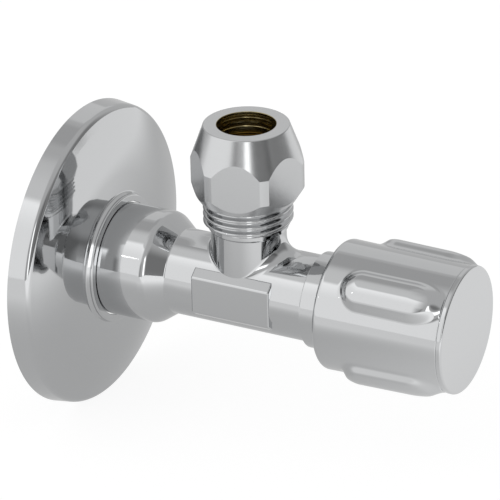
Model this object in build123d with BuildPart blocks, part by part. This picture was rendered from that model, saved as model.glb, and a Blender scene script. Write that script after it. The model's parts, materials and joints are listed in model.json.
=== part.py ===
"""Right-angle isolating valve with wall rosette, handwheel and compression outlet, in millimetres.

The origin is where the valve's axis meets the finished wall. +X runs from the wall to the handwheel,
+Z runs up the outlet. The valve is drawn shut, with its nut and olive done up.
"""

import os
from math import cos, hypot, radians, sin

from build123d import *

os.makedirs("parts", exist_ok=True)

# Threads and pipe sizes
inlet_thread_r = 20.955 / 2
outlet_thread_r = 16.662 / 2
pipe_r = 5.0
spindle_thread_r = 3.95
spindle_pitch = 1.25
spindle_turns = 3
bonnet_thread_r = 6.55

# Clearances
thread_gap = 0.05
running_gap = 0.05
seat_gap = 0.05
cone_gap = 0.06
disc_gap = 0.1
press_gap = 0.01

# Distances along the valve's axis, from the wall and from the outlet's axis
wall_to_outlet = 35.3
inlet_behind_wall = 10.0
wall_to_bell = 4.4
bell_to_outlet = 17.4
barrel_to_outlet = 13.8
seat_to_outlet = 5.25
outlet_to_bonnet_nose = 4.0
outlet_to_bonnet_thread = 7.0
outlet_to_body_front = 14.3
outlet_to_wheel = 18.4

# Body
bell_r = 10.7
barrel_wall = 1.55
inlet_bore_r = 6.25
seat_bore_r = 4.2
seat_lip_wall = 0.8
seat_lip_height = 1.25
seat_throat = 4.25
chamber_r = 6.0
port_r = 3.5
thread_end_chamfer = 0.8
relief_width = 2.0
relief_depth = 1.2
pad_length = 16.0
pad_rise = 0.2
pad_height = 7.15
pad_facet_run = 1.9
pad_facet_height = 10.0

# Outlet
neck_under_thread = 1.331
neck_top_z = 11.9
runout_height = 1.6
stub_top_z = 24.0
socket_floor_z = 13.0
socket_gap = 0.1
olive_cone_height = 2.1
olive_cone_rise = 1.85
neck_fillet = 2.0

# Compression nut and olive
nut_wall_at_flats = 1.169
nut_corner_rise = 1.0
nut_over_stub = 5.8
nut_height = 14.4
nut_skirt_wall = 0.669
nut_skirt_height = 2.4
nut_cone_height = 7.0
nut_top_wall = 2.5
nut_pipe_gap = 0.43
nut_turned_deg = 14.2
nut_room_above_stub = 0.8
nut_pocket_gap = 0.05
nut_pocket_height = 1.3
nut_cone_depth = 2.5
olive_length = 5.5
olive_in_stub = 1.5
olive_gap = 0.12
olive_wall = 1.63

# Bonnet
bonnet_nose_gap = 0.1
flange_step = 0.9
flange_gap = 0.3
flange_length = 5.9
bonnet_hex_across_flats = 13.0
bonnet_hex_length = 2.6
gland_r = 5.4
gland_length = 2.5
bonnet_thread_length = 7.0
seal_section_r = 0.36
seal_chamfer = 1.0
seal_relief_depth = 0.1
seal_relief_width = 1.1

# Spindle
spindle_r = 3.2
spindle_thread_length = 7.0
lift_margin = 0.25
spline_step = 0.2
spline_length = 8.9
ring_section_r = 0.48
ring_groove_depth = 0.95
ring_groove_width = 1.3
stop_to_inner_ring = 3.6
ring_spacing = 5.0
stem_r = 1.55
stem_length = 5.6

# Disc and seat washer
disc_side_gap = 0.5
disc_thickness = 1.7
disc_skirt_wall = 0.5
disc_skirt_length = 1.1
washer_thickness = 2.0
washer_screw_r = 1.0
washer_screw_length = 3.0
washer_screw_head_r = 2.3
washer_screw_head_height = 1.1
washer_screw_slot_width = 0.6
washer_screw_slot_depth = 0.5

# Handwheel
wheel_front_r = 11.75
wheel_draft = 0.45
wheel_wall = 1.15
wheel_rim_wall = 1.95
wheel_hollow_depth = 17.4
wheel_web = 2.5
wheel_recess_depth = 4.6
wheel_hub_wall = 1.2
wheel_hub_length = 8.0
rib_count = 4
rib_first_deg = 46.0
rib_rise = 1.8
rib_root_in_wall = 0.85
rib_top_width = 6.2
rib_flank_run = 1.2
rib_end_run = 3.2
rib_back_margin = 2.7
rib_front_margin = 1.8
rib_edge_radius = 1.1
cap_thickness = 1.05
cap_overhang = 0.1
cap_skirt_wall = 1.0
cap_skirt_length = 2.0
cap_edge_radius = 0.25
bush_wall = 1.39
wheel_screw_r = 1.95
wheel_screw_length = 9.5
wheel_screw_head_r = 3.5
wheel_screw_head_height = 2.2
wheel_screw_socket_r = 1.5
wheel_screw_socket_depth = 1.2
wheel_washer_r = 4.4
wheel_washer_thickness = 0.8

# Wall rosette
rosette_r = 29.2
rosette_rim_depth = 4.6
rosette_sheet = 0.8
rosette_rim_draft = 0.5
rosette_dome_width = 7.7
rosette_dome_rise = 2.3
rosette_root_depth = 7.1
rosette_depth = 8.65
rosette_bell_gap = 0.8
rosette_collar_flare = 0.4
rosette_rim_radius = 1.0
rosette_dome_radius = 40.0
rosette_root_radius = 0.9

# Sizes that follow from the ones above
outlet_x = wall_to_outlet
outlet_plane = Plane(origin=(outlet_x, 0, 0), x_dir=(1, 0, 0), z_dir=(0, -1, 0))
outlet_axis = Axis((outlet_x, 0, 0), (0, 0, 1))
inlet_end_x = -inlet_behind_wall
bell_back_x = wall_to_bell
bell_front_x = outlet_x - bell_to_outlet
barrel_back_x = outlet_x - barrel_to_outlet
seat_face_x = outlet_x - seat_to_outlet
bonnet_nose_x = outlet_x + outlet_to_bonnet_nose
chamber_front_x = outlet_x + outlet_to_bonnet_thread
body_front_x = outlet_x + outlet_to_body_front
wheel_back_x = outlet_x + outlet_to_wheel
bonnet_stop_x = bonnet_nose_x + bonnet_thread_length
seat_floor_x = seat_face_x - seat_lip_height
seat_throat_x = seat_face_x - seat_throat
barrel_r = bonnet_thread_r + barrel_wall
pad_width = 2 * (barrel_r + pad_rise)
pad_facet_width = pad_width - 2 * pad_facet_run
neck_r = outlet_thread_r - neck_under_thread
socket_r = pipe_r + socket_gap
olive_cone_r = socket_r + olive_cone_rise
olive_band_r = pipe_r + olive_wall
olive_cone_start_z = stub_top_z - olive_cone_height
nut_flat_r = outlet_thread_r + nut_wall_at_flats
nut_corner_r = nut_flat_r + nut_corner_rise
nut_skirt_r = outlet_thread_r + nut_skirt_wall
nut_bore_r = pipe_r + nut_pipe_gap
nut_top_r = nut_bore_r + nut_top_wall
nut_pocket_r = olive_cone_r + nut_pocket_gap
nut_bottom_z = stub_top_z - nut_over_stub
nut_top_z = nut_bottom_z + nut_height
nut_cone_base_z = nut_top_z - nut_cone_height
nut_shelf_z = stub_top_z + nut_room_above_stub
bonnet_nose_r = chamber_r - bonnet_nose_gap
flange_r = barrel_r + flange_step
flange_back_x = body_front_x + flange_gap
flange_front_x = flange_back_x + flange_length
bonnet_hex_front_x = flange_front_x + bonnet_hex_length
bonnet_front_x = bonnet_hex_front_x + gland_length
wheel_length = wheel_hollow_depth + wheel_web + wheel_recess_depth
wheel_front_x = wheel_back_x + wheel_length
wheel_back_r = wheel_front_r + wheel_draft
wheel_hollow_r = wheel_front_r - wheel_wall
wheel_recess_r = wheel_front_r - wheel_rim_wall
rib_top_r = wheel_back_r + rib_rise
rib_root_r = wheel_front_r - rib_root_in_wall
rib_root_width = rib_top_width + 2 * rib_flank_run
rib_root_length = wheel_length - rib_back_margin - rib_front_margin
rib_top_length = rib_root_length - 2 * rib_end_run
rib_middle = rib_back_margin + rib_root_length / 2
cap_r = wheel_front_r + cap_overhang
cap_back_x = wheel_front_x + press_gap
web_back_x = wheel_back_x + wheel_hollow_depth
web_front_x = web_back_x + wheel_web
hub_back_x = web_back_x - wheel_hub_length
washer_front_x = seat_face_x + seat_gap
disc_floor_x = washer_front_x + washer_thickness
disc_front_x = disc_floor_x + disc_thickness
lift = spindle_pitch * spindle_turns
disc_r = chamber_r - disc_side_gap
spindle_back_x = disc_front_x + disc_gap
spline_r = spindle_r - spline_step
bush_r = spline_r + press_gap + bush_wall
wheel_hub_r = bush_r + wheel_hub_wall
spindle_thread_front_x = bonnet_stop_x - lift - lift_margin
spindle_thread_back_x = spindle_thread_front_x - spindle_thread_length
spindle_front_x = web_back_x - press_gap
spline_back_x = spindle_front_x - spline_length
inner_ring_x = bonnet_stop_x + stop_to_inner_ring
outer_ring_x = inner_ring_x + ring_spacing
rosette_dome_r = rosette_r - rosette_dome_width
rosette_collar_r = bell_r + rosette_bell_gap

# Valve body: one brass forging, turned inside, with the outlet stub and its wrench pads
with BuildPart() as valve_body:
    with BuildSketch(Plane.XY):
        with BuildLine():
            Polyline(
                (inlet_end_x, 0),
                (inlet_end_x, inlet_thread_r - thread_end_chamfer),
                (inlet_end_x + thread_end_chamfer, inlet_thread_r),
                (bell_back_x - relief_width, inlet_thread_r),
                (bell_back_x - relief_width, bell_r - relief_depth),
                (bell_back_x, bell_r - relief_depth),
                (bell_back_x, bell_r),
                (bell_front_x, bell_r),
                (barrel_back_x, barrel_r),
                (body_front_x, barrel_r),
                (body_front_x, 0),
                (inlet_end_x, 0),
            )
        make_face()
    revolve(axis=Axis.X)
    with BuildSketch(Plane.XY):
        with Locations((outlet_x, 0)):
            Circle(neck_r)
    extrude(amount=neck_top_z)
    saddle = valve_body.edges().filter_by(GeomType.BSPLINE)
    fillet(saddle, radius=neck_fillet)
    with BuildSketch(Plane.YZ.offset(outlet_x - pad_length / 2)):
        with BuildLine():
            Polyline(
                (-pad_width / 2, -pad_height / 2),
                (-pad_width / 2, pad_height / 2),
                (-pad_facet_width / 2, pad_facet_height / 2),
                (pad_facet_width / 2, pad_facet_height / 2),
                (pad_width / 2, pad_height / 2),
                (pad_width / 2, -pad_height / 2),
                (pad_facet_width / 2, -pad_facet_height / 2),
                (-pad_facet_width / 2, -pad_facet_height / 2),
                close=True,
            )
        make_face()
    extrude(amount=pad_length)
    with BuildSketch(outlet_plane):
        with BuildLine():
            Polyline(
                (0, neck_top_z),
                (neck_r, neck_top_z),
                (outlet_thread_r, neck_top_z + runout_height),
                (outlet_thread_r, stub_top_z - thread_end_chamfer),
                (outlet_thread_r - thread_end_chamfer, stub_top_z),
                (0, stub_top_z),
                close=True,
            )
        make_face()
    revolve(axis=outlet_axis)
    with BuildSketch(Plane.XY):
        with BuildLine():
            Polyline(
                (inlet_end_x, 0),
                (inlet_end_x, inlet_bore_r),
                (seat_throat_x - (inlet_bore_r - seat_bore_r), inlet_bore_r),
                (seat_throat_x, seat_bore_r),
                (seat_face_x, seat_bore_r),
                (seat_face_x, seat_bore_r + seat_lip_wall),
                (seat_floor_x, seat_bore_r + seat_lip_wall),
                (seat_floor_x, chamber_r),
                (chamber_front_x, chamber_r),
                (chamber_front_x, bonnet_thread_r + thread_gap),
                (body_front_x - seal_chamfer, bonnet_thread_r + thread_gap),
                (body_front_x, bonnet_thread_r + thread_gap + seal_chamfer),
                (body_front_x, 0),
                close=True,
            )
        make_face()
    revolve(axis=Axis.X, mode=Mode.SUBTRACT)
    with BuildSketch(outlet_plane):
        with BuildLine():
            Polyline(
                (0, 0),
                (port_r, 0),
                (port_r, socket_floor_z),
                (socket_r, socket_floor_z),
                (socket_r, olive_cone_start_z),
                (olive_cone_r, stub_top_z),
                (0, stub_top_z),
                close=True,
            )
        make_face()
    revolve(axis=outlet_axis, mode=Mode.SUBTRACT)

# Bonnet: screws into the body, guides the spindle and carries its thread
with BuildPart() as bonnet:
    with BuildSketch(Plane.XY):
        with BuildLine():
            Polyline(
                (bonnet_nose_x, spindle_thread_r + thread_gap),
                (bonnet_nose_x, bonnet_nose_r),
                (chamber_front_x + thread_gap, bonnet_nose_r),
                (chamber_front_x + thread_gap, bonnet_thread_r),
                (flange_back_x - seal_relief_width, bonnet_thread_r),
                (flange_back_x - seal_relief_width, bonnet_thread_r - seal_relief_depth),
                (flange_back_x, bonnet_thread_r - seal_relief_depth),
                (flange_back_x, flange_r),
                (flange_front_x, flange_r),
                (flange_front_x, gland_r),
                (bonnet_front_x, gland_r),
                (bonnet_front_x, spindle_r + running_gap),
                (bonnet_stop_x, spindle_r + running_gap),
                (bonnet_stop_x, spindle_thread_r + thread_gap),
                close=True,
            )
        make_face()
    revolve(axis=Axis.X)
    with BuildSketch(Plane.YZ.offset(flange_front_x)):
        RegularPolygon(bonnet_hex_across_flats / 2, 6, major_radius=False)
        Circle(gland_r, mode=Mode.SUBTRACT)
    extrude(amount=bonnet_hex_length)

# Seal between the body's mouth and the bonnet's flange
seal_x = flange_back_x - seal_section_r - running_gap
seal_r = bonnet_thread_r - seal_relief_depth + seal_section_r + running_gap
with BuildPart() as bonnet_seal_ring:
    with BuildSketch(Plane.XY):
        with Locations((seal_x, seal_r)):
            Circle(seal_section_r)
    revolve(axis=Axis.X)

# Spindle: brass, threaded inside the bonnet, with two ring grooves and a splined end
with BuildPart() as spindle:
    with BuildSketch(Plane.XY):
        with BuildLine():
            Polyline(
                (spindle_back_x, 0),
                (spindle_back_x, spindle_r),
                (spindle_thread_back_x, spindle_r),
                (spindle_thread_back_x, spindle_thread_r),
                (spindle_thread_front_x, spindle_thread_r),
                (spindle_thread_front_x, spindle_r),
                (spline_back_x, spindle_r),
                (spline_back_x, spline_r),
                (spindle_front_x, spline_r),
                (spindle_front_x, 0),
                close=True,
            )
        make_face()
        for ring_x in (inner_ring_x, outer_ring_x):
            with Locations((ring_x, spindle_r)):
                Rectangle(ring_groove_width, 2 * ring_groove_depth, mode=Mode.SUBTRACT)
    revolve(axis=Axis.X)
    with Locations(Plane.YZ.offset(spindle_back_x)):
        Cylinder(
            stem_r + running_gap,
            stem_length + running_gap,
            align=(Align.CENTER, Align.CENTER, Align.MIN),
            mode=Mode.SUBTRACT,
        )
    with Locations(Plane.YZ.offset(spindle_front_x)):
        Cylinder(
            wheel_screw_r + thread_gap,
            wheel_screw_length,
            align=(Align.CENTER, Align.CENTER, Align.MAX),
            mode=Mode.SUBTRACT,
        )

# Rubber rings that seal the spindle in the bonnet
ring_r = spindle_r - ring_groove_depth + ring_section_r + press_gap
with BuildPart() as inner_spindle_ring:
    with BuildSketch(Plane.XY):
        with Locations((inner_ring_x, ring_r)):
            Circle(ring_section_r)
    revolve(axis=Axis.X)
with BuildPart() as outer_spindle_ring:
    with BuildSketch(Plane.XY):
        with Locations((outer_ring_x, ring_r)):
            Circle(ring_section_r)
    revolve(axis=Axis.X)

# Valve disc: its stem turns freely in the spindle's end, its skirt holds the seat washer
skirt_back_x = disc_floor_x - disc_skirt_length
with BuildPart() as valve_disc:
    with BuildSketch(Plane.XY):
        with BuildLine():
            Polyline(
                (skirt_back_x, disc_r - disc_skirt_wall),
                (skirt_back_x, disc_r),
                (disc_front_x, disc_r),
                (disc_front_x, stem_r),
                (spindle_back_x + stem_length, stem_r),
                (spindle_back_x + stem_length, 0),
                (disc_floor_x + washer_screw_length, 0),
                (disc_floor_x + washer_screw_length, washer_screw_r + thread_gap),
                (disc_floor_x, washer_screw_r + thread_gap),
                (disc_floor_x, disc_r - disc_skirt_wall),
                close=True,
            )
        make_face()
    revolve(axis=Axis.X)

# Rubber washer that shuts on the seat
with BuildPart() as seat_washer:
    with BuildSketch(Plane.XY):
        with BuildLine():
            Polyline(
                (washer_front_x, washer_screw_r + running_gap),
                (washer_front_x, disc_r - disc_skirt_wall - running_gap),
                (disc_floor_x - press_gap, disc_r - disc_skirt_wall - running_gap),
                (disc_floor_x - press_gap, washer_screw_r + running_gap),
                close=True,
            )
        make_face()
    revolve(axis=Axis.X)

# Screw that holds the seat washer on the disc
head_front_x = washer_front_x - press_gap
with BuildPart() as seat_washer_screw:
    with BuildSketch(Plane.XY):
        with BuildLine():
            Polyline(
                (head_front_x - washer_screw_head_height, 0),
                (head_front_x - washer_screw_head_height, washer_screw_head_r),
                (head_front_x, washer_screw_head_r),
                (head_front_x, washer_screw_r),
                (disc_floor_x + washer_screw_length - running_gap, washer_screw_r),
                (disc_floor_x + washer_screw_length - running_gap, 0),
                close=True,
            )
        make_face()
    revolve(axis=Axis.X)
    with BuildSketch(Plane.YZ.offset(head_front_x - washer_screw_head_height)):
        Rectangle(washer_screw_slot_width, 2 * washer_screw_head_r)
    extrude(amount=washer_screw_slot_depth, mode=Mode.SUBTRACT)

# Handwheel: a hollow shell with a web, a hub for the splined bush and four raised ribs
with BuildPart() as handwheel:
    with BuildSketch(Plane.XY):
        with BuildLine():
            Polyline(
                (wheel_back_x, 0),
                (wheel_back_x, wheel_back_r),
                (wheel_front_x, wheel_front_r),
                (wheel_front_x, 0),
                close=True,
            )
        make_face()
    revolve(axis=Axis.X)
    for index in range(rib_count):
        angle = radians(rib_first_deg + 360 / rib_count * index)
        outward = Vector(0, cos(angle), sin(angle))
        rib_plane = Plane(origin=(wheel_back_x + rib_middle, 0, 0), x_dir=(1, 0, 0), z_dir=outward)
        with BuildSketch(rib_plane.offset(rib_root_r)):
            SlotOverall(rib_root_length, rib_root_width)
        with BuildSketch(rib_plane.offset(rib_top_r)):
            SlotOverall(rib_top_length, rib_top_width)
        loft()
    crests = [
        edge
        for face in handwheel.faces().filter_by(GeomType.PLANE)
        if abs(hypot(face.center().Y, face.center().Z) - rib_top_r) < press_gap
        for edge in face.edges()
    ]
    fillet(crests, radius=rib_edge_radius)
    with BuildSketch(Plane.XY):
        with BuildLine():
            Polyline(
                (wheel_back_x, 0),
                (wheel_back_x, wheel_hollow_r),
                (web_back_x, wheel_hollow_r),
                (web_back_x, wheel_hub_r),
                (hub_back_x, wheel_hub_r),
                (hub_back_x, 0),
                close=True,
            )
        make_face()
    revolve(axis=Axis.X, mode=Mode.SUBTRACT)
    with BuildSketch(Plane.XY):
        with BuildLine():
            Polyline(
                (hub_back_x, 0),
                (hub_back_x, bush_r + press_gap),
                (web_back_x, bush_r + press_gap),
                (web_back_x, wheel_screw_r + running_gap),
                (web_front_x, wheel_screw_r + running_gap),
                (web_front_x, wheel_recess_r),
                (wheel_front_x, wheel_recess_r),
                (wheel_front_x, 0),
                close=True,
            )
        make_face()
    revolve(axis=Axis.X, mode=Mode.SUBTRACT)

# Splined bush in the handwheel's hub
with BuildPart() as handwheel_bush:
    with BuildSketch(Plane.XY):
        with BuildLine():
            Polyline(
                (hub_back_x, spline_r + press_gap),
                (hub_back_x, bush_r),
                (web_back_x - press_gap, bush_r),
                (web_back_x - press_gap, spline_r + press_gap),
                close=True,
            )
        make_face()
    revolve(axis=Axis.X)

# Washer and screw that hold the handwheel on the spindle
wheel_washer_back_x = web_front_x + press_gap
with BuildPart() as handwheel_washer:
    with BuildSketch(Plane.YZ.offset(wheel_washer_back_x)):
        Circle(wheel_washer_r)
        Circle(wheel_screw_r + running_gap, mode=Mode.SUBTRACT)
    extrude(amount=wheel_washer_thickness)

screw_seat_x = wheel_washer_back_x + wheel_washer_thickness + press_gap
with BuildPart() as handwheel_screw:
    with BuildSketch(Plane.XY):
        with BuildLine():
            Polyline(
                (spindle_front_x - wheel_screw_length + running_gap, 0),
                (spindle_front_x - wheel_screw_length + running_gap, wheel_screw_r),
                (screw_seat_x, wheel_screw_r),
                (screw_seat_x, wheel_screw_head_r),
                (screw_seat_x + wheel_screw_head_height, wheel_screw_head_r),
                (screw_seat_x + wheel_screw_head_height, 0),
                close=True,
            )
        make_face()
    revolve(axis=Axis.X)
    with BuildSketch(Plane.YZ.offset(screw_seat_x + wheel_screw_head_height)):
        RegularPolygon(wheel_screw_socket_r, 6, major_radius=False)
    extrude(amount=-wheel_screw_socket_depth, mode=Mode.SUBTRACT)

# Cap that closes the handwheel's front, with a skirt pressed into the recess
with BuildPart() as handwheel_cap:
    with BuildSketch(Plane.YZ.offset(cap_back_x)):
        Circle(cap_r)
    extrude(amount=cap_thickness)
    fillet(handwheel_cap.faces().sort_by(Axis.X)[-1].edges(), radius=cap_edge_radius)
    with BuildSketch(Plane.YZ.offset(cap_back_x)):
        Circle(wheel_recess_r - press_gap)
        Circle(wheel_recess_r - press_gap - cap_skirt_wall, mode=Mode.SUBTRACT)
    extrude(amount=-cap_skirt_length)

# Olive: a double-coned brass ring around the pipe, between the stub's cone and the nut's
seat_slope = (olive_cone_r - socket_r) / (stub_top_z - olive_cone_start_z)
nut_slope = (nut_pocket_r - nut_bore_r) / nut_cone_depth
nut_cone_start_z = nut_shelf_z + nut_pocket_height
olive_skirt_z = stub_top_z - olive_in_stub
olive_top_z = olive_skirt_z + olive_length
olive_skirt_r = socket_r + seat_slope * (olive_skirt_z - olive_cone_start_z) - cone_gap
olive_band_start_z = olive_skirt_z + (olive_band_r - olive_skirt_r) / seat_slope
olive_top_r = nut_pocket_r - nut_slope * (olive_top_z - nut_cone_start_z) - olive_gap
olive_band_end_z = olive_top_z - (olive_band_r - olive_top_r) / nut_slope
with BuildPart() as olive:
    with BuildSketch(outlet_plane):
        with BuildLine():
            Polyline(
                (socket_r + press_gap, olive_skirt_z),
                (olive_skirt_r, olive_skirt_z),
                (olive_band_r, olive_band_start_z),
                (olive_band_r, olive_band_end_z),
                (olive_top_r, olive_top_z),
                (socket_r + press_gap, olive_top_z),
                close=True,
            )
        make_face()
    revolve(axis=outlet_axis)

# Compression nut: a hexagon turned to a cylinder at its corners, coned above and chamfered below
with BuildPart() as compression_nut:
    with BuildSketch(Plane.XY.offset(nut_bottom_z)):
        with Locations((outlet_x, 0)):
            RegularPolygon(nut_flat_r, 6, major_radius=False, rotation=nut_turned_deg)
    extrude(amount=nut_height)
    with BuildSketch(outlet_plane):
        with BuildLine():
            Polyline(
                (outlet_thread_r + thread_gap, nut_bottom_z),
                (nut_skirt_r, nut_bottom_z),
                (nut_corner_r, nut_bottom_z + nut_skirt_height),
                (nut_corner_r, nut_cone_base_z),
                (nut_top_r, nut_top_z),
                (nut_bore_r, nut_top_z),
                (nut_bore_r, nut_cone_start_z + nut_cone_depth),
                (nut_pocket_r, nut_cone_start_z),
                (nut_pocket_r, nut_shelf_z),
                (outlet_thread_r + thread_gap, nut_shelf_z),
                close=True,
            )
        make_face()
    revolve(axis=outlet_axis, mode=Mode.INTERSECT)

# Wall rosette: pressed from one sheet, with a rim, a domed face and a collar round the bell
sheet_half = rosette_sheet / 2
rim_front_x = rosette_rim_depth - sheet_half
collar_mid_r = rosette_collar_r + sheet_half
with BuildPart() as wall_rosette:
    with BuildSketch(Plane.XY):
        with BuildLine():
            FilletPolyline(
                (sheet_half, rosette_r - sheet_half),
                (rim_front_x, rosette_r - sheet_half - rosette_rim_draft),
                (rim_front_x + rosette_dome_rise, rosette_dome_r),
                (rosette_root_depth, collar_mid_r + rosette_collar_flare),
                (rosette_depth - sheet_half, collar_mid_r),
                radius=[rosette_rim_radius, rosette_dome_radius, rosette_root_radius],
            )
            offset(amount=sheet_half, side=Side.BOTH)
        make_face()
    revolve(axis=Axis.X)

pieces = {
    "valve_body": valve_body,
    "bonnet": bonnet,
    "bonnet_seal_ring": bonnet_seal_ring,
    "spindle": spindle,
    "inner_spindle_ring": inner_spindle_ring,
    "outer_spindle_ring": outer_spindle_ring,
    "valve_disc": valve_disc,
    "seat_washer": seat_washer,
    "seat_washer_screw": seat_washer_screw,
    "handwheel": handwheel,
    "handwheel_bush": handwheel_bush,
    "handwheel_washer": handwheel_washer,
    "handwheel_screw": handwheel_screw,
    "handwheel_cap": handwheel_cap,
    "olive": olive,
    "compression_nut": compression_nut,
    "wall_rosette": wall_rosette,
}
for name, piece in pieces.items():
    piece.part.label = name
    export_step(piece.part, f"parts/{name}.step")
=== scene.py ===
"""Visual model of a right-angle isolating valve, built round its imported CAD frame.

Sizes are in millimetres and become metres where a mesh is made. The origin is where the valve's axis
meets the finished wall, +X runs from the wall to the handwheel and +Z up the outlet.
"""

from __future__ import annotations

import json
import logging
import math
from collections.abc import Sequence
from dataclasses import dataclass, field, replace
from enum import Enum

import bmesh
import bpy
import numpy as np
from mathutils import Matrix, Vector

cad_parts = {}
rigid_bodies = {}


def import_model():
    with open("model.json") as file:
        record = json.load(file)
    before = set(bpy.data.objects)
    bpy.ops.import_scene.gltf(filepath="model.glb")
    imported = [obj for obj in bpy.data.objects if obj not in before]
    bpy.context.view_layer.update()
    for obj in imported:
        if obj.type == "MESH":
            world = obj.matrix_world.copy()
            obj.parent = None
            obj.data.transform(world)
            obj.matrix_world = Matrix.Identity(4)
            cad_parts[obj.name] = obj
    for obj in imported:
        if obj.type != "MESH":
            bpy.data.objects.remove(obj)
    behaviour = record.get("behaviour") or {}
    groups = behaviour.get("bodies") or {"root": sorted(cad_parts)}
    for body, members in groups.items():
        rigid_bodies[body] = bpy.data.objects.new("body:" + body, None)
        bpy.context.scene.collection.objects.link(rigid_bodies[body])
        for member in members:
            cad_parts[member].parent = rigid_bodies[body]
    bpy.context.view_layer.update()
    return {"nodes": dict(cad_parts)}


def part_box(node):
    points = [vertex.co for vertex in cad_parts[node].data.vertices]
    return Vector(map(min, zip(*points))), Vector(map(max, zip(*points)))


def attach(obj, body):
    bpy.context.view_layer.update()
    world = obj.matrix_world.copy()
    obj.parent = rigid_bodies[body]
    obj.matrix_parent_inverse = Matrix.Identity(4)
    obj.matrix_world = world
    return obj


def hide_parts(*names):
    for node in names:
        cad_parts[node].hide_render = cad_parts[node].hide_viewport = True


log = logging.getLogger("isolating_valve")

# A millimetre in metres, and how close two points are, in millimetres, that become one.
MM = 0.001
WELD = 1e-4

# How far the cap stands off the wheel's front, and the floor below the rosette, in millimetres.
CAP_GAP = 0.01
FLOOR_GAP = 0.1

# Kinds of node and socket that are used often.
MATH = "ShaderNodeMath"
MAP_RANGE = "ShaderNodeMapRange"
MIX = "ShaderNodeMix"
SPLIT = "ShaderNodeSeparateXYZ"
JOIN = "ShaderNodeCombineXYZ"
NOISE = "ShaderNodeTexNoise"
BUMP = "ShaderNodeBump"
SURFACE = "ShaderNodeBsdfPrincipled"
OUTPUT = "ShaderNodeOutputMaterial"
VECTOR = "ShaderNodeVectorMath"
NUMBER = "NodeSocketFloat"


class Axis(Enum):
    """The valve's two axes: along the barrel, and up the outlet."""

    BARREL = "x"
    OUTLET = "z"


class Side(Enum):
    """The two sides of the body that carry a wrench pad."""

    FRONT = -1
    BACK = 1


# Node trees


def add_node(tree: bpy.types.NodeTree, kind: str, inputs: dict | None = None, **settings: object) -> bpy.types.Node:
    """Adds a node, sets it and links it.

    Args:
        tree: The tree that gets the node.
        kind: The node's class name.
        inputs: What goes into each input, by name or index: a value, a socket, or a node for its first output.
        settings: The node's own properties.

    Returns:
        The node.
    """
    node = tree.nodes.new(kind)
    for name, value in settings.items():
        setattr(node, name, value)
    for key, value in (inputs or {}).items():
        if isinstance(value, bpy.types.Node):
            value = next(socket for socket in value.outputs if socket.enabled)
        if isinstance(value, bpy.types.NodeSocket):
            tree.links.new(value, node.inputs[key])
        else:
            node.inputs[key].default_value = value
    return node


def add_steps(tree: bpy.types.NodeTree, kind: str, made: dict[str, object], steps: Sequence[tuple]) -> None:
    """Adds a run of calculating nodes, each under a name that later ones can read.

    Args:
        tree: The tree that gets the nodes.
        kind: Their class name.
        made: The nodes and sockets so far, by name. The new ones join them.
        steps: For each node its name, its operation, and its inputs as names or values.
    """
    for name, operation, *inputs in steps:
        found = {i: made[value] if isinstance(value, str) else value for i, value in enumerate(inputs)}
        made[name] = add_node(tree, kind, found, operation=operation)


def linear_colour(text: str) -> tuple[float, float, float, float]:
    """Turns an sRGB hex colour to linear.

    Args:
        text: The colour, such as "#C3C4C4".

    Returns:
        Red, green, blue and alpha, linear.
    """
    parts = [int(text[i : i + 2], 16) / 255 for i in (1, 3, 5)]
    return (*(p / 12.92 if p <= 0.04045 else ((p + 0.055) / 1.055) ** 2.4 for p in parts), 1.0)


# Finishes


def new_material(name: str) -> tuple[bpy.types.Material, bpy.types.NodeTree, bpy.types.NodeSocket]:
    """Starts a material.

    Args:
        name: Its name.

    Returns:
        The material, its empty tree, and its Object coordinates, in metres.
    """
    material = bpy.data.materials.new(name)
    material.use_nodes = True
    tree = material.node_tree
    tree.nodes.clear()
    return material, tree, add_node(tree, "ShaderNodeTexCoord").outputs["Object"]


@dataclass(frozen=True)
class PlatedChrome:
    """Bright chrome plate over a die-cast or machined surface."""

    name: str
    colour: str
    roughness: float
    ripple_mm: float
    ripple_height_mm: float
    pit_mm: float
    pit_height_mm: float
    smudge: float

    def material(self) -> bpy.types.Material:
        """Makes the material: a slow ripple that also dulls it unevenly, and fine pits.

        Returns:
            The material.
        """
        material, tree, place = new_material(self.name)
        ripple, pits = (
            add_node(tree, NOISE, {"Vector": place, "Scale": 1 / (size * MM), "Detail": detail})
            for size, detail in ((self.ripple_mm, 1.0), (self.pit_mm, 2.0))
        )
        waves = add_node(tree, BUMP, {"Height": ripple, "Strength": 1.0, "Distance": self.ripple_height_mm * MM})
        grain = add_node(
            tree, BUMP, {"Height": pits, "Strength": 1.0, "Distance": self.pit_height_mm * MM, "Normal": waves}
        )
        dull = add_node(
            tree, MAP_RANGE, {"Value": ripple, "To Min": self.roughness, "To Max": self.roughness + self.smudge}
        )
        shader = add_node(
            tree,
            SURFACE,
            {"Base Color": linear_colour(self.colour), "Metallic": 1.0, "Roughness": dull, "Normal": grain},
        )
        add_node(tree, OUTPUT, {"Surface": shader})
        return material


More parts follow.
